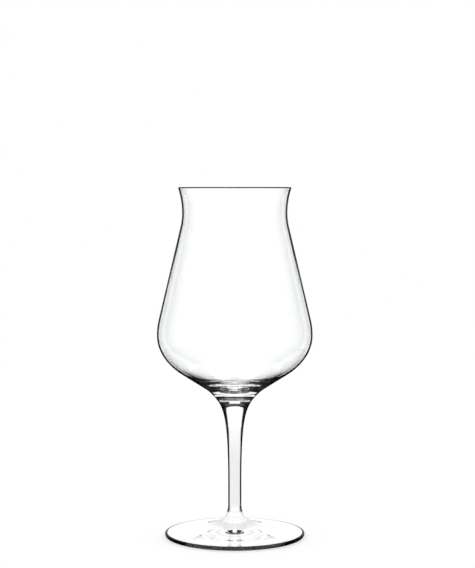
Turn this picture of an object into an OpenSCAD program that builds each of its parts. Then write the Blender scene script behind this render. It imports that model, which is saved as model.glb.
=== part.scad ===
// Tulip beer glass in clear crystal: a thin blown bowl, a drawn stem and a pressed foot, fused end to end.
// The origin is the centre of the ring that the foot rests on, and +Z is up. Lengths are millimetres.

/* [Bowl] */
// Height of the bowl, from its joint with the stem to the rim
bowl_h = 115; // [100:1:140]
// Outside diameter of the rim
rim_d = 63; // [60:0.2:72]
// Outside diameter of the neck, the narrowest ring under the rim
neck_d = 58.6; // [50:0.2:61.6]
// Depth of the neck below the rim
neck_drop = 14.4; // [10:0.2:22]
// Radius of the bend between the neck and the sloping side
neck_bend = 33; // [12:1:38]
// Outside diameter of the belly, the widest ring
belly_d = 87; // [80:0.2:96]
// Height of the belly above the joint with the stem
belly_rise = 32.4; // [26:0.2:40]
// Radius of the bend between the belly and the sloping side
belly_bend = 38; // [20:1:42]
// Height above the joint at which the rounded underside would close, if it ran on to the axis
round_gap = 2.7; // [1.5:0.1:3.5]
// Thickness of the wall from the rim to the belly
wall = 1; // [0.8:0.1:2]
// Thickness of the glass under the drink, from the inner floor to the joint with the stem
floor_t = 4.4; // [3.8:0.2:9]

/* [Stem] */
// Length of the stem, from joint to joint
stem_len = 68.5; // [62:0.5:90]
// Diameter of the straight part of the stem
stem_d = 7.4; // [6:0.1:9]
// Diameter of the joint between the bowl and the stem
crown_d = 27.2; // [22:0.2:32]
// Lean of the stem's outline at the bowl's joint, in degrees from upright
crown_lean = 45; // [35:1:50]
// Reach of the bend in the outline just above the bowl's joint
crown_bend = 1.9; // [0.5:0.1:2.5]
// Length of the taper under the bowl
taper_len = 51; // [40:1:55]
// Diameter of the joint between the stem and the foot
root_d = 9.4; // [9.1:0.1:12]
// Lean of the stem's outline at the foot's joint, in degrees from upright
root_lean = 15; // [5:1:30]
// Length of the flare above the foot
root_len = 6; // [4:0.5:7]

/* [Foot] */
// Diameter of the foot
foot_d = 78.4; // [70:0.2:90]
// Height of the foot, from the table to its joint with the stem
foot_h = 12.5; // [10:0.5:16]
// Lean of the foot's raised middle under its joint with the stem, in degrees from upright
boss_lean = 40; // [30:1:55]
// Reach of the bend in the outline just below the foot's joint
root_bend = 0.6; // [0.3:0.1:1.2]
// Slope of the foot's top where it reaches the edge, in degrees
foot_slope = 4; // [1:0.5:7]
// Thickness of the foot at its edge
edge_t = 2.3; // [2.2:0.1:3.4]
// Rounding of the edge above
edge_round = 0.5; // [0.2:0.1:0.6]
// Rounding of the edge below
heel_round = 1.6; // [0.6:0.1:1.7]
// Width of the flat ring that the foot rests on
ring_w = 4; // [2:0.5:8]
// Depth of the hollow under the foot, at its middle
hollow = 1.6; // [0.5:0.1:3]

/* [Hidden] */

crystal = [0.93, 0.95, 0.96, 0.4];

// Steps on the turned surfaces, and on each stretch of an outline
turn_steps = 180;
long_steps = 24;
short_steps = 10;

// Heights of the two joints, the belly, the neck, the inner floor and the rim above the table
root_z = foot_h;
crown_z = root_z + stem_len;
belly_z = crown_z + belly_rise;
floor_z = crown_z + floor_t;
rim_z = crown_z + bowl_h;
neck_z = rim_z - neck_drop;

rim_r = rim_d / 2;
neck_r = neck_d / 2;
belly_r = belly_d / 2;
stem_r = stem_d / 2;
foot_r = foot_d / 2;

// Outer ends of the two joints, which the pieces on either side share
crown = [crown_d / 2, crown_z];
root = [root_d / 2, root_z];

// The lip is an arc of the wall's middle line, from the neck to the centre of the rounded rim
rim_round = wall / 2;
lip_rise = neck_drop - rim_round;
lip_flare = rim_r - neck_r;
lip_bend = (lip_rise^2 + lip_flare^2) / (2 * lip_flare);
lip_turn = asin(lip_rise / lip_bend);
lip_centre = [neck_r - rim_round + lip_bend, neck_z];

// The sloping side is the straight line that touches both bends
neck_centre = [neck_r + neck_bend, neck_z];
belly_centre = [belly_r - belly_bend, belly_z];
side_run = neck_centre - belly_centre;
side_turn = atan2(side_run.y, side_run.x) - acos((neck_bend + belly_bend) / norm(side_run));

// The underside runs straight from the bend above the joint and touches the rounded part of the bowl.
// Measured in the oval's own half widths, that part is a circle of radius 1.
round_depth = belly_rise - round_gap;
crown_corner = crown + crown_bend * [sin(crown_lean), cos(crown_lean)];
corner_in_oval = [crown_corner.x / belly_r, (belly_z - crown_corner.y) / round_depth];
round_turn = atan2(corner_in_oval.y, corner_in_oval.x) - acos(1 / norm(corner_in_oval));

// Reach of the pull on each end of a drawn curve, as shares of the curve's own span
taper_top_pull = 0.19;
taper_end_pull = 0.8;
root_pull = 0.5;
boss_pull = 0.16;
foot_edge_pull = 0.55;

// Points of an arc about a centre, from one angle to another
function arc(centre, r, from, to, steps) =
    [for (i = [0:steps]) let(a = from + (to - from) * i / steps) centre + r * [cos(a), sin(a)]];

// Points of a lower half oval under the height z, from one angle to another: 0 is its side, 90 its bottom
function oval(r, depth, z, from, to, steps) =
    [for (i = [0:steps]) let(a = from + (to - from) * i / steps) [r * cos(a), z - depth * sin(a)]];

// Points of a drawn curve from a to d, pulled towards b and c
function drawn(a, b, c, d, steps) =
    [for (i = [0:steps]) let(t = i / steps, u = 1 - t)
        u^3 * a + 3 * u^2 * t * b + 3 * u * t^2 * c + t^3 * d];

// Points of a short bend from a start, round a corner, to as far beyond it in a direction
function bend(start, corner, direction, steps) =
    let(finish = corner + norm(corner - start) * direction)
    drawn(start, (start + 2 * corner) / 3, (finish + 2 * corner) / 3, finish, steps);

// Direction of a line that leans outwards as it falls
function falling(lean) = [sin(lean), -cos(lean)];

function reversed(points) = [for (i = [len(points) - 1:-1:0]) points[i]];

// Outside of the bowl below the belly, from the joint with the stem upwards
function underside() =
    let(round_end = [belly_r * cos(round_turn), belly_z - round_depth * sin(round_turn)],
        slope = (round_end - crown_corner) / norm(round_end - crown_corner))
    concat(
        bend(crown, crown_corner, slope, short_steps),
        oval(belly_r, round_depth, belly_z, round_turn, 0, long_steps));

// One face of the wall from the belly up to the rim, set in from the outside
function side(inset) = concat(
    arc(belly_centre, belly_bend - inset, 0, side_turn, short_steps),
    arc(neck_centre, neck_bend + inset, 180 + side_turn, 180, short_steps),
    arc(lip_centre, lip_bend - rim_round + inset, 180, 180 - lip_turn, short_steps));

// Rounded top of the rim, from the outer face over to the inner one
function rim_top() = arc(
    lip_centre + lip_bend * [-cos(lip_turn), sin(lip_turn)],
    rim_round, -lip_turn, 180 - lip_turn, short_steps);

function bowl_inside() =
    concat(reversed(side(wall)), oval(belly_r - wall, belly_z - floor_z, belly_z, 0, 90, long_steps));

// Outline of the stem, from its joint with the foot upwards
function stem_side() =
    let(flare_end = [stem_r, root_z + root_len],
        taper_end = [stem_r, crown_z - taper_len],
        spreading = taper_top_pull * taper_len * [sin(crown_lean), cos(crown_lean)])
    concat(
        drawn(root,
            root - root_pull * root_len * falling(root_lean),
            flare_end - [0, root_pull * root_len],
            flare_end, short_steps),
        drawn(taper_end,
            taper_end + [0, taper_end_pull * taper_len],
            crown - spreading,
            crown, long_steps));

// Top of the foot, from its joint with the stem out to the edge
function foot_top() =
    let(corner = root + root_bend * falling(root_lean),
        start = corner + root_bend * falling(boss_lean),
        edge_centre = [foot_r - edge_round, edge_t - edge_round],
        finish = edge_centre + edge_round * [sin(foot_slope), cos(foot_slope)],
        span = norm(finish - start))
    concat(
        bend(root, corner, falling(boss_lean), short_steps),
        drawn(start,
            start + boss_pull * span * falling(boss_lean),
            finish + foot_edge_pull * span * [-cos(foot_slope), sin(foot_slope)],
            finish, long_steps),
        arc(edge_centre, edge_round, 90 - foot_slope, 0, short_steps));

// Underside of the foot, from its edge round to the resting ring, then the shallow dome of the hollow
function foot_under() =
    let(reach = foot_r - heel_round - ring_w,
        dome_bend = (reach^2 + hollow^2) / (2 * hollow),
        dome_turn = asin(reach / dome_bend))
    concat(
        arc([foot_r - heel_round, heel_round], heel_round, 0, -90, short_steps),
        arc([0, hollow - dome_bend], dome_bend, 90 - dome_turn, 90, long_steps));

module turned(outline) {
    rotate_extrude($fn = turn_steps) polygon(outline);
}

module bowl() {
    color(crystal) turned(concat([[0, crown_z]], underside(), side(0), rim_top(), bowl_inside()));
}

module stem() {
    color(crystal) turned(concat([[0, root_z]], stem_side(), [[0, crown_z]]));
}

module foot() {
    color(crystal) turned(concat([[0, root_z]], foot_top(), foot_under()));
}

bowl();
stem();
foot();
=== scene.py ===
from functools import reduce
from math import acos, asin, atan2, cos, pi, radians, sin

import bmesh
import bpy
from mathutils import Matrix, Vector
from mathutils.geometry import interpolate_bezier


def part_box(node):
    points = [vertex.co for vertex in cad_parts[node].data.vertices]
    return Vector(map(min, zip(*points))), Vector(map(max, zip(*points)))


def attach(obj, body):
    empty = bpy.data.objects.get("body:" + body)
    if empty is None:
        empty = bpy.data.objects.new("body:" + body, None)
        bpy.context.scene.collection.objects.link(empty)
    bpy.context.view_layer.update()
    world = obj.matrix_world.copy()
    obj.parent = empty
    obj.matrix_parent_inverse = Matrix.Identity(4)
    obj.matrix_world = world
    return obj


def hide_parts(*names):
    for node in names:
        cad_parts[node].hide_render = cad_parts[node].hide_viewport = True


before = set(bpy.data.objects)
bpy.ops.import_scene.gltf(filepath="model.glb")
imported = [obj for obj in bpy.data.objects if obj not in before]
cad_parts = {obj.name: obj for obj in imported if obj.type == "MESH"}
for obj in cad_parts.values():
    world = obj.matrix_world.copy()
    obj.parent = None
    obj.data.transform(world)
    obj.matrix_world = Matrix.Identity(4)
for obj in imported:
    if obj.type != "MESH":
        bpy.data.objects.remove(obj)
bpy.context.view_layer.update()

scene = bpy.context.scene

mm = 0.001
bowlBox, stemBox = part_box("bowl"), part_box("stem")
rootZ = stemBox[0].z    # joint of stem and foot
crownZ = stemBox[1].z   # joint of bowl and stem
rimZ = bowlBox[1].z
turnSteps = 192         # faces round each turned piece
sharpAngle = radians(25)
sameSpot = 0.001 * mm   # points closer than this are one


# shader nodes
class Value:
    # a node socket that takes part in Python sums
    def __init__(self, tree, socket):
        self.tree, self.socket = tree, socket

    def math(self, operation, *values):
        return self.tree.node("Math", {"operation": operation}, dict(enumerate(values))).out()

    def __add__(self, other):
        return self.math("ADD", self, other)

    def __sub__(self, other):
        return self.math("SUBTRACT", self, other)

    def __rsub__(self, other):
        return self.math("SUBTRACT", other, self)

    def __mul__(self, other):
        return self.math("MULTIPLY", self, other)

    def __pow__(self, other):
        return self.math("POWER", self, other)

    def above(self, other):
        return self.math("GREATER_THAN", self, other)

    def below(self, other):
        return self.math("LESS_THAN", self, other)

    def larger(self, other):
        return self.math("MAXIMUM", self, other)

    def fade(self, start, end):
        # 0 before the start and 1 past the end, with a soft passage
        smooth = {"interpolation_type": "SMOOTHSTEP"}
        return self.tree.node("MapRange", smooth, {0: self, 1: start, 2: end}).out()

    def grey(self):
        return self.tree.node("CombineColor", None, {0: self, 1: self, 2: self}).out()

    __radd__ = __add__
    __rmul__ = __mul__


class Node:
    def __init__(self, tree, node):
        self.tree, self.raw = tree, node

    def out(self, name=0):
        return Value(self.tree, self.raw.outputs[name])


class Tree:
    def __init__(self, owner):
        owner.use_nodes = True
        self.raw = owner.node_tree
        self.raw.nodes.clear()

    def node(self, kind, settings=None, sockets=None):
        made = self.raw.nodes.new("ShaderNode" + kind)
        for name, setting in (settings or {}).items():
            setattr(made, name, setting)
        for name, value in (sockets or {}).items():
            if isinstance(value, Value):
                self.raw.links.new(value.socket, made.inputs[name])
            else:
                made.inputs[name].default_value = value
        return Node(self, made)

    def place(self):
        return self.node("TexCoord").out("Object")

    def split(self, vector):
        parts = self.node("SeparateXYZ", None, {0: vector})
        return parts.out("X"), parts.out("Y"), parts.out("Z")


# crystal
crystal = {
    "tint": (0.985, 0.992, 0.995), "ior": 1.52,
    # the faint ripple left by blowing: waves per metre, depth, finer waves and share of the tint
    "waveSize": 34.0, "waveDepth": 0.0025 * mm, "waveDetail": 1.0, "waveRough": 0.4, "waveTint": 0.02,
    # the rim and the foot's side, tinted near black from outside: a painted dark band, painted shade
    "edgeShadeTint": (0.003, 0.0033, 0.0036), "edgeIor": 1.08,
    # painted shade: a dark outline painted into the colour where the outside of the glass is seen edge on
    "outlineShadeTint": (0.0008, 0.0009, 0.001, 1),
    # facing start and end, lowest and highest height, softness in height, share
    "outlineShadeZones": {
        "wall": (0.77, 0.795, 99 * mm, 210 * mm, 10 * mm, 1.0),
        "neck": (0.72, 0.745, 145 * mm, 240 * mm, 30 * mm, 1.0),
        "stem": (0.45, 0.75, 13.6 * mm, 76 * mm, 1.6 * mm, 1.0),
        "taper": (0.24, 0.42, 64 * mm, 77 * mm, 6 * mm, 0.9),
        "flare": (0.12, 0.42, 13.6 * mm, 17.7 * mm, 1.6 * mm, 1.0),
        "boss": (0.2, 0.7, 7.2 * mm, 15.5 * mm, 2.5 * mm, 0.45),
    },
    # fine seeds left in the joint of bowl and stem; the seeds are real, their near-black colour is painted
    # shade
    "seedGrain": 1700.0, "seedShare": 0.7, "seedShadeTint": (0.1, 0.1, 0.1, 1), "seedRough": 0.6,
}


# painted shade for one height zone: darker where the surface is seen edge on
def edgeOnPaintedShade(facing, z, shadeZone):
    start, end, low, high, soft, share = shadeZone
    here = z.fade(low - soft / 2, low + soft / 2) * z.fade(high + soft / 2, high - soft / 2)
    return facing.fade(start, end) * here * share


def crystalGlass(tree, tint, ior):
    place = tree.place()
    ripple = tree.node("TexNoise", {"noise_dimensions": "3D"}, {
        "Vector": place, "Scale": crystal["waveSize"],
        "Detail": crystal["waveDetail"], "Roughness": crystal["waveRough"]}).out()
    bump = tree.node("Bump", None, {"Height": ripple, "Strength": 1.0, "Distance": crystal["waveDepth"]})
    swing, level = crystal["waveTint"], 1 - crystal["waveTint"] / 2
    tints = [ripple * swing * part + level * part for part in tint]
    plain = tree.node("CombineColor", None, dict(enumerate(tints))).out()

    x, y, z = tree.split(place)
    leanX, leanY = tree.split(tree.node("NewGeometry").out("Normal"))[:2]
    outward = (x * leanX + y * leanY).above(0)
    facing = tree.node("LayerWeight", None, {"Blend": 0.5}).out("Facing")
    # painted dark outline: the strongest zone at each point, kept below to surfaces facing outwards
    paintedOutline = reduce(Value.larger, [edgeOnPaintedShade(facing, z, shadeZone) for shadeZone in crystal["outlineShadeZones"].values()])
    # the mix node's colours are inputs 6 and 7 and output 2
    colour = tree.node("Mix", {"data_type": "RGBA"}, {
        0: paintedOutline * outward, 6: plain, 7: crystal["outlineShadeTint"]}).out(2)
    return tree.node("BsdfPrincipled", None, {
        "Base Color": colour, "Roughness": 0.0, "IOR": ior, "Transmission Weight": 1.0,
        "Normal": bump.out()})


def crystalMaterial():
    material = bpy.data.materials.new("clearCrystal")
    tree = Tree(material)
    glass = crystalGlass(tree, crystal["tint"], crystal["ior"])
    tree.node("OutputMaterial", None, {"Surface": glass.out()})
    return material


def paintedEdgeMaterial():
    # painted shade: near black from outside, clear to light that leaves from within
    material = bpy.data.materials.new("paintedEdgeCrystal")
    tree = Tree(material)
    outside = crystalGlass(tree, crystal["edgeShadeTint"], crystal["edgeIor"])
    inside = crystalGlass(tree, crystal["tint"], crystal["ior"])
    within = tree.node("NewGeometry").out("Backfacing")
    both = tree.node("MixShader", None, {0: within, 1: outside.out(), 2: inside.out()})
    tree.node("OutputMaterial", None, {"Surface": both.out()})
    return material


def jointMaterial(name, seeded):
    # where two pieces have run together there is no surface left to see
    material = bpy.data.materials.new(name)
    tree = Tree(material)
    face = {"Base Color": (*crystal["tint"], 1), "Alpha": 0.0}
    if seeded:
        seeds = tree.node("TexVoronoi", None, {"Vector": tree.place(), "Scale": crystal["seedGrain"]})
        # the seeds are painted dark grey: painted shade
        face = {"Base Color": crystal["seedShadeTint"], "Roughness": crystal["seedRough"],
                "Alpha": seeds.out("Distance").below(crystal["seedShare"])}
    tree.node("OutputMaterial", None, {"Surface": tree.node("BsdfPrincipled", None, face).out()})
    return material


clearCrystal = crystalMaterial()
paintedEdgeCrystal = paintedEdgeMaterial()
fusedJoint = jointMaterial("fusedJoint", False)
seededJoint = jointMaterial("seededJoint", True)
print("materials made")


# outlines, drawn in the XZ plane by moving the last point
class Outline:
    def __init__(self, radius, height):
        self.bm = bmesh.new()
        self.pen = self.bm.verts.new((radius, 0, height))

    def at(self):
        return self.pen.co.xz

    def line(self, end, steps=1):
        start = self.at()
        for i in range(1, steps + 1):
            grown = bmesh.ops.extrude_vert_indiv(self.bm, verts=[self.pen])
            self.pen = grown["verts"][0]
            spot = start.lerp(Vector(end), i / steps)
            self.pen.co = (spot.x, 0, spot.y)

    def curve(self, pullOut, pullIn, end, steps):
        knots = [Vector((p[0], 0, p[1])) for p in (self.at(), pullOut, pullIn, end)]
        for spot in interpolate_bezier(*knots, steps + 1)[1:]:
            self.line((spot.x, spot.z))

    def bend(self, corner, direction, steps):
        # rounds a corner, and ends as far beyond it as the pen was before it
        start, corner = self.at(), Vector(corner)
        end = corner + (corner - start).length * Vector(direction)
        self.curve((start + 2 * corner) / 3, (end + 2 * corner) / 3, end, steps)

    def arc(self, centre, angle, steps, squash=1.0):
        # turns the pen about a centre, then squashes the new points towards the centre's height
        if squash != 1.0:
            self.pen.co.z = centre[1] + (self.pen.co.z - centre[1]) / squash
        first = self.pen
        turned = bmesh.ops.spin(self.bm, geom=[self.pen], cent=(centre[0], 0, centre[1]),
                                axis=(0, -1, 0), angle=angle, steps=steps)
        self.pen = next(v for v in turned["geom_last"] if isinstance(v, bmesh.types.BMVert))
        if squash != 1.0:
            self.bm.verts.index_update()
            made = [v for v in self.bm.verts if v.index >= first.index]
            bmesh.ops.scale(self.bm, verts=made, vec=(1, 1, squash),
                            space=Matrix.Translation((0, 0, -centre[1])))


def addObject(bm, name, materials):
    mesh = bpy.data.meshes.new(name)
    bm.to_mesh(mesh)
    bm.free()
    for material in materials:
        mesh.materials.append(material)
    piece = bpy.data.objects.new(name, mesh)
    scene.collection.objects.link(piece)
    return piece


def turnPiece(outline, name, finishes):
    # each finish is a material with a test of the radius and height of a face's corners
    bm = outline.bm
    bmesh.ops.spin(bm, geom=bm.verts[:] + bm.edges[:], cent=(0, 0, 0), axis=(0, 0, 1),
                   angle=2 * pi, steps=turnSteps, use_merge=True)
    bmesh.ops.remove_doubles(bm, verts=bm.verts[:], dist=sameSpot)
    bmesh.ops.recalc_face_normals(bm, faces=bm.faces[:])
    for face in bm.faces:
        face.smooth = True
        for index, (material, holds) in enumerate(finishes):
            if all(holds(v.co.xy.length, v.co.z) for v in face.verts):
                face.material_index = index + 1
    for edge in bm.edges:
        if edge.calc_face_angle(0) > sharpAngle:
            edge.smooth = False
    piece = addObject(bm, name, [clearCrystal] + [material for material, holds in finishes])
    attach(piece, "root")
    return piece


def jointAt(height):
    return fusedJoint, lambda r, z: abs(z - height) < sameSpot


def seedsAt(height):
    return seededJoint, lambda r, z: abs(z - height) < sameSpot and r < bowl["seeds"]


def leaning(degrees):
    # direction that rises and leans outwards by so many degrees from upright
    return Vector((sin(radians(degrees)), cos(radians(degrees))))


# bowl
bowl = {
    "rim": 31.5 * mm, "neck": 29.3 * mm, "neckDrop": 14.4 * mm, "neckBend": 33 * mm,
    "belly": 43.5 * mm, "bellyRise": 32.4 * mm, "bellyBend": 38 * mm, "roundGap": 2.7 * mm,
    "wall": 1.0 * mm, "floor": 4.4 * mm, "crown": 13.6 * mm, "crownLean": 45, "crownBend": 1.9 * mm,
    "rimEdge": 1.0 * mm, "seeds": 7 * mm,
    # steps along each stretch of the outline
    "jointSteps": 12, "cornerSteps": 8, "underSteps": 10, "roundSteps": 30, "bellySteps": 14,
    "sideSteps": 24, "neckSteps": 10, "lipSteps": 30, "rimSteps": 12, "insideSteps": 48,
}


def makeBowl():
    bellyZ, neckZ = crownZ + bowl["bellyRise"], rimZ - bowl["neckDrop"]
    floorZ = crownZ + bowl["floor"]
    belly, wall = bowl["belly"], bowl["wall"]
    half = wall / 2
    crown = Vector((bowl["crown"], crownZ))

    # lip: an arc of the wall's middle line
    rise, flare = bowl["neckDrop"] - half, bowl["rim"] - bowl["neck"]
    lipBend = (rise ** 2 + flare ** 2) / (2 * flare)
    lipTurn = asin(rise / lipBend)
    lipCentre = Vector((bowl["neck"] - half + lipBend, neckZ))

    # side: the line that touches the belly's bend and the neck's
    neckCentre = Vector((bowl["neck"] + bowl["neckBend"], neckZ))
    bellyCentre = Vector((belly - bowl["bellyBend"], bellyZ))
    run = neckCentre - bellyCentre
    sideTurn = atan2(run.y, run.x) - acos((bowl["neckBend"] + bowl["bellyBend"]) / run.length)
    outwards = Vector((cos(sideTurn), sin(sideTurn)))

    # underside: straight from the joint's bend to where it touches the rounded part
    depth = bowl["bellyRise"] - bowl["roundGap"]
    corner = crown + bowl["crownBend"] * leaning(bowl["crownLean"])
    inOval = Vector((corner.x / belly, (bellyZ - corner.y) / depth))
    roundTurn = atan2(inOval.y, inOval.x) - acos(1 / inOval.length)
    roundStart = Vector((belly * cos(roundTurn), bellyZ - depth * sin(roundTurn)))

    o = Outline(0, crownZ)
    o.line(crown, bowl["jointSteps"])
    o.bend(corner, (roundStart - corner).normalized(), bowl["cornerSteps"])
    o.line(roundStart, bowl["underSteps"])
    o.arc((0, bellyZ), roundTurn, bowl["roundSteps"], depth / belly)
    o.arc(bellyCentre, sideTurn, bowl["bellySteps"])
    o.line(neckCentre - bowl["neckBend"] * outwards, bowl["sideSteps"])
    o.arc(neckCentre, -sideTurn, bowl["neckSteps"])
    o.arc(lipCentre, -lipTurn, bowl["lipSteps"])
    o.arc(lipCentre + lipBend * Vector((-cos(lipTurn), sin(lipTurn))), pi, bowl["rimSteps"])
    # back down the inside
    o.arc(lipCentre, lipTurn, bowl["lipSteps"])
    o.arc(neckCentre, sideTurn, bowl["neckSteps"])
    o.line(bellyCentre + (bowl["bellyBend"] - wall) * outwards, bowl["sideSteps"])
    o.arc(bellyCentre, -sideTurn, bowl["bellySteps"])
    o.arc((0, bellyZ), -pi / 2, bowl["insideSteps"], (bellyZ - floorZ) / (belly - wall))
    # the rim's top takes the painted dark band of the edge material
    piece = turnPiece(o, "glassBowl", [
        jointAt(crownZ), seedsAt(crownZ), (paintedEdgeCrystal, lambda r, z: z > rimZ - bowl["rimEdge"])])
    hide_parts("bowl")
    return piece


# stem
stem = {
    "straight": 3.7 * mm, "taperLength": 51 * mm, "taperTopPull": 0.19, "taperEndPull": 0.8,
    "root": 4.7 * mm, "rootLean": 15, "rootLength": 6 * mm, "rootPull": 0.5,
    "rootSteps": 4, "flareSteps": 16, "straightSteps": 8, "taperSteps": 64,
}


def makeStem():
    crown, root = Vector((bowl["crown"], crownZ)), Vector((stem["root"], rootZ))
    flareEnd = Vector((stem["straight"], rootZ + stem["rootLength"]))
    taperStart = Vector((stem["straight"], crownZ - stem["taperLength"]))
    upright = Vector((0, 1))
    o = Outline(0, rootZ)
    o.line(root, stem["rootSteps"])
    o.curve(root + stem["rootPull"] * stem["rootLength"] * leaning(-stem["rootLean"]),
            flareEnd - stem["rootPull"] * stem["rootLength"] * upright, flareEnd, stem["flareSteps"])
    o.line(taperStart, stem["straightSteps"])
    o.curve(taperStart + stem["taperEndPull"] * stem["taperLength"] * upright,
            crown - stem["taperTopPull"] * stem["taperLength"] * leaning(bowl["crownLean"]),
            crown, stem["taperSteps"])
    o.line((0, crownZ), bowl["jointSteps"])
    piece = turnPiece(o, "glassStem", [jointAt(rootZ), jointAt(crownZ), seedsAt(crownZ)])
    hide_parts("stem")
    return piece


# foot
foot = {
    "radius": 39.2 * mm, "edge": 2.3 * mm, "edgeRound": 0.5 * mm, "heelRound": 1.6 * mm,
    "slope": 4, "bossLean": 40, "bossPull": 0.16, "edgePull": 0.55, "rootBend": 0.6 * mm,
    "ring": 4 * mm, "hollow": 1.6 * mm, "sideStart": 37.55 * mm, "sideTop": 2.43 * mm,
    "cornerSteps": 6, "topSteps": 72, "edgeSteps": 8, "sideSteps": 2, "heelSteps": 14,
    "ringSteps": 4, "hollowSteps": 40,
}


def makeFoot():
    root = Vector((stem["root"], rootZ))
    falling, bossFalling = -leaning(-stem["rootLean"]), -leaning(-foot["bossLean"])
    corner = root + foot["rootBend"] * falling
    edgeCentre = Vector((foot["radius"] - foot["edgeRound"], foot["edge"] - foot["edgeRound"]))
    slope = radians(foot["slope"])
    topEnd = edgeCentre + foot["edgeRound"] * Vector((sin(slope), cos(slope)))
    heelCentre = (foot["radius"] - foot["heelRound"], foot["heelRound"])
    reach = foot["radius"] - foot["heelRound"] - foot["ring"]
    domeBend = (reach ** 2 + foot["hollow"] ** 2) / (2 * foot["hollow"])
    domeCentre = Vector((0, foot["hollow"] - domeBend))

    o = Outline(0, rootZ)
    o.line(root, stem["rootSteps"])
    o.bend(corner, bossFalling, foot["cornerSteps"])
    start = o.at()
    span = (topEnd - start).length
    o.curve(start + foot["bossPull"] * span * bossFalling,
            topEnd + foot["edgePull"] * span * Vector((-cos(slope), sin(slope))),
            topEnd, foot["topSteps"])
    o.arc(edgeCentre, slope - pi / 2, foot["edgeSteps"])
    o.line((foot["radius"], foot["heelRound"]), foot["sideSteps"])
    o.arc(heelCentre, -pi / 2, foot["heelSteps"])
    o.line((reach, 0), foot["ringSteps"])
    o.arc(domeCentre, asin(reach / domeBend), foot["hollowSteps"])
    # the foot's side takes the painted dark band of the edge material
    piece = turnPiece(o, "glassFoot", [
        jointAt(rootZ), (paintedEdgeCrystal, lambda r, z: r > foot["sideStart"] and z < foot["sideTop"])])
    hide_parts("foot")
    return piece


glassBowl, glassStem, glassFoot = makeBowl(), makeStem(), makeFoot()


# stage
studio = {
    "dark": 0.035,      # the room as the glass sees it
    "dimmed": 1.0,      # a card as the floor sees it through the glass
}


def addStage(bm, name, material):
    piece = addObject(bm, name, [material])
    return piece


def addCard(bm, name, shineAt=None, mirrored=False):
    # a glowing card that only the glass sees, by looking through or as a mirror
    piece = addStage(bm, name, glowing(name, shineAt))
    piece.visible_camera = piece.visible_diffuse = piece.visible_shadow = False
    piece.visible_transmission, piece.visible_glossy = not mirrored, mirrored
    return piece


def glowing(name, shineAt):
    # plain white, or a shine by the distance from the middle, the depth and the height
    material = bpy.data.materials.new(name)
    tree = Tree(material)
    colour = (1, 1, 1, 1)
    if shineAt:
        x, y, z = tree.split(tree.place())
        shine = shineAt(x.math("ABSOLUTE", x), y, z)
        matt = tree.node("LightPath").out("Diffuse Depth").above(0.5)
        colour = (shine + (studio["dimmed"] - shine) * matt).grey()
    glow = tree.node("Emission", None, {"Color": colour, "Strength": 1.0})
    tree.node("OutputMaterial", None, {"Surface": glow.out()})
    return material


def even(light):
    # the same shine all over
    return lambda x, y, z: light


def lightOnly(card, pieces):
    # the card's light reaches these pieces alone
    group = bpy.data.collections.new(card.name + "Pieces")
    for piece in pieces:
        group.objects.link(piece)
    card.light_linking.receiver_collection = group


def turnWith(card, camera):
    # the card turns about the upright to keep its front towards the camera
    turn = card.constraints.new("LOCKED_TRACK")
    turn.target = camera
    turn.track_axis, turn.lock_axis = "TRACK_NEGATIVE_Y", "LOCK_Z"


def glassRays(tree):
    # 1 for rays that have met the glass but no matt surface
    path = tree.node("LightPath")
    glassy = path.out("Is Glossy Ray").larger(path.out("Is Transmission Ray"))
    return glassy * path.out("Diffuse Depth").below(0.5)


# floor: matt with a glow of its own, and to the glass a white disc that mirrors show only faintly
floor = {
    "size": 0.9, "sides": 96, "drop": 0.2 * mm, "white": 0.45, "lift": 0.58,
    "reach": 72 * mm, "underFoot": 1.12, "mirrored": 0.1,
}


def makeFloor():
    material = bpy.data.materials.new("paleFloor")
    tree = Tree(material)
    x, y = tree.split(tree.place())[:2]
    near = (x ** 2 + y ** 2).below(floor["reach"] ** 2)
    white, lift = floor["white"], floor["lift"]
    matt = tree.node("BsdfDiffuse", None, {"Color": (white, white, white, 1)})
    glow = tree.node("Emission", None, {"Color": (lift, lift, lift, 1), "Strength": 1.0})
    plain = tree.node("AddShader", None, {0: matt.out(), 1: glow.out()})
    through = tree.node("LightPath").out("Is Transmission Ray")
    shown = floor["mirrored"] + (1 - floor["mirrored"]) * through
    disc = near * shown * floor["underFoot"]
    seen = tree.node("Emission", None, {"Color": disc.grey(), "Strength": 1.0})
    surface = tree.node("MixShader", None, {0: glassRays(tree), 1: plain.out(), 2: seen.out()})
    tree.node("OutputMaterial", None, {"Surface": surface.out()})
    bm = bmesh.new()
    bmesh.ops.create_circle(bm, cap_ends=True, segments=floor["sides"], radius=floor["size"])
    bmesh.ops.translate(bm, verts=bm.verts[:], vec=(0, 0, -floor["drop"]))
    addStage(bm, "studioFloor", material)


def makeWorld():
    # white for the camera and for the floor's light, a dark room for the glass
    world = bpy.data.worlds.new("studioLight")
    scene.world = world
    tree = Tree(world)
    seen = 1 - glassRays(tree) * (1 - studio["dark"])
    light = tree.node("Background", None, {"Color": seen.grey(), "Strength": 1.0})
    tree.node("OutputWorld", None, {"Surface": light.out()})


makeFloor()
makeWorld()

# camera
view = {"lens": 100, "place": (0.00153, -0.8793, 0.1935), "down": 3.35, "nearest": 10 * mm}


def makeCamera():
    data = bpy.data.cameras.new("camera")
    data.lens, data.clip_start = view["lens"], view["nearest"]
    made = bpy.data.objects.new("camera", data)
    made.location = view["place"]
    made.rotation_euler = (radians(90 - view["down"]), 0, 0)
    scene.collection.objects.link(made)
    scene.camera = made
    return made


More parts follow.
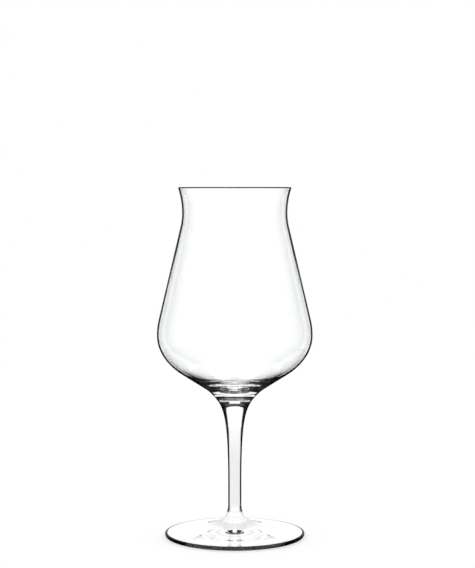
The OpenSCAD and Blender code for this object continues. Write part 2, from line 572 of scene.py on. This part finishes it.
# a white sweep behind the glass: a strip on the floor, then an upright wall, white up to a window's
# height and narrow near the glass
sweep = {
    "light": 1.25, "half": 420 * mm, "near": 73 * mm, "behind": 300 * mm, "top": 700 * mm,
    "drop": 0.1 * mm, "stripTop": 1 * mm, "stripDim": 0.07,
    "whiteNear": 30 * mm, "whiteFar": 180 * mm, "darkNear": 60 * mm, "darkFar": 230 * mm,
    "spreadStart": 120 * mm, "spreadEnd": 300 * mm, "windowTop": 330 * mm, "windowEnd": 370 * mm,
    # a narrow roof, for what looks up through the bowl's base
    "roofNear": 45 * mm, "roofHalf": 35 * mm, "roofHeight": 226 * mm,
}


def makeSweep(camera):
    def shineAt(x, y, z):
        spread = (y + z).fade(sweep["spreadStart"], sweep["spreadEnd"])
        white = sweep["whiteNear"] + (sweep["whiteFar"] - sweep["whiteNear"]) * spread
        dark = sweep["darkNear"] + (sweep["darkFar"] - sweep["darkNear"]) * spread
        shine = x.fade(dark, white) * z.fade(sweep["windowEnd"], sweep["windowTop"])
        dim = z.below(sweep["stripTop"]) * sweep["stripDim"] + studio["dark"]
        return shine * (sweep["light"] - dim) + dim
    bm = bmesh.new()
    ends = [bm.verts.new((side * sweep["half"], sweep["near"], -sweep["drop"])) for side in (-1, 1)]
    edge = bm.edges.new(ends)
    for step in ((0, sweep["behind"] - sweep["near"], 0), (0, 0, sweep["top"])):
        grown = bmesh.ops.extrude_edge_only(bm, edges=[edge])["geom"]
        ends = [v for v in grown if isinstance(v, bmesh.types.BMVert)]
        bmesh.ops.translate(bm, verts=ends, vec=step)
        edge = next(e for e in bm.edges if e.verts[0] in ends and e.verts[1] in ends)
    turnWith(addCard(bm, "whiteSweep", shineAt), camera)

    bm = bmesh.new()
    bmesh.ops.create_grid(bm, x_segments=1, y_segments=1, size=1)
    depth = sweep["behind"] - sweep["roofNear"]
    middle = (0, sweep["roofNear"] + depth / 2, sweep["roofHeight"])
    bmesh.ops.scale(bm, verts=bm.verts[:], vec=(sweep["roofHalf"], depth / 2, 1))
    bmesh.ops.translate(bm, verts=bm.verts[:], vec=middle)
    turnWith(addCard(bm, "whiteRoof", even(sweep["light"])), camera)


# a small white panel close behind the stem
panel = {
    "light": 0.96, "lightTop": 1.08, "behind": 48 * mm, "half": 56 * mm, "top": 62 * mm,
    "whiteLow": 30 * mm, "whiteHigh": 23 * mm, "darkLow": 48 * mm, "darkHigh": 33 * mm,
    "lowEnd": 35 * mm,
}


def makePanel(camera):
    def shineAt(x, y, z):
        rise = z.fade(panel["lowEnd"], panel["top"])
        white = panel["whiteLow"] + (panel["whiteHigh"] - panel["whiteLow"]) * rise
        dark = panel["darkLow"] + (panel["darkHigh"] - panel["darkLow"]) * rise
        light = panel["light"] + (panel["lightTop"] - panel["light"]) * rise
        return x.fade(dark, white) * (light - studio["dark"]) + studio["dark"]
    bm = bmesh.new()
    upright = Matrix.Rotation(pi / 2, 4, "X")
    bmesh.ops.create_grid(bm, x_segments=1, y_segments=1, size=1, matrix=upright)
    bmesh.ops.scale(bm, verts=bm.verts[:], vec=(panel["half"], 1, panel["top"] / 2))
    bmesh.ops.translate(bm, verts=bm.verts[:], vec=(0, panel["behind"], panel["top"] / 2))
    turnWith(addCard(bm, "stemPanel", shineAt), camera)


# white rings round the glass: the side ring and the skirt are seen through it, the low ring is mirrored in
# the foot and the high one in the bowl
rings = {
    "sideRadius": 46 * mm, "sideHeight": 55 * mm, "sideGap": 38,
    "skirtRadius": 72 * mm, "skirtHeight": 30 * mm,
    "lowRadius": 75 * mm, "lowHeight": 90 * mm,
    "highRadius": 330 * mm, "highHeight": 650 * mm, "highGap": 36, "highLight": 0.6,
    "steps": 90,
}


def ringMesh(radius, height, gap=0):
    # an upright ring, open by so many degrees on each side of straight behind
    bm = bmesh.new()
    start = Matrix.Rotation(radians(-gap), 3, "Z") @ Vector((0, radius, 0))
    low, high = bm.verts.new(start), bm.verts.new(start + Vector((0, 0, height)))
    edge = bm.edges.new((low, high))
    bmesh.ops.spin(bm, geom=[edge, low, high], cent=(0, 0, 0), axis=(0, 0, 1),
                   angle=radians(2 * gap - 360), steps=rings["steps"], use_merge=gap == 0)
    return bm


def makeRings(camera):
    bm = ringMesh(rings["sideRadius"], rings["sideHeight"], rings["sideGap"])
    side = addCard(bm, "sideRing")
    lightOnly(side, [glassFoot])
    turnWith(side, camera)
    bm = ringMesh(rings["skirtRadius"], rings["skirtHeight"])
    skirt = addCard(bm, "whiteSkirt")
    lightOnly(skirt, [glassBowl, glassFoot])
    bm = ringMesh(rings["lowRadius"], rings["lowHeight"])
    low = addCard(bm, "mirroredLow", mirrored=True)
    lightOnly(low, [glassFoot])
    bm = ringMesh(rings["highRadius"], rings["highHeight"], rings["highGap"])
    high = addCard(bm, "mirroredHigh", even(rings["highLight"]), mirrored=True)
    lightOnly(high, [glassBowl])
    turnWith(high, camera)


camera = makeCamera()
makeSweep(camera)
makePanel(camera)
makeRings(camera)

# clear glass takes many bounces
bounces = {
    "max_bounces": 32, "glossy_bounces": 24, "transmission_bounces": 32, "transparent_max_bounces": 16,
}
for kind, count in bounces.items():
    setattr(scene.cycles, kind, count)
scene.view_settings.view_transform = "Standard"
print("stage and camera set")

bpy.context.view_layer.update()
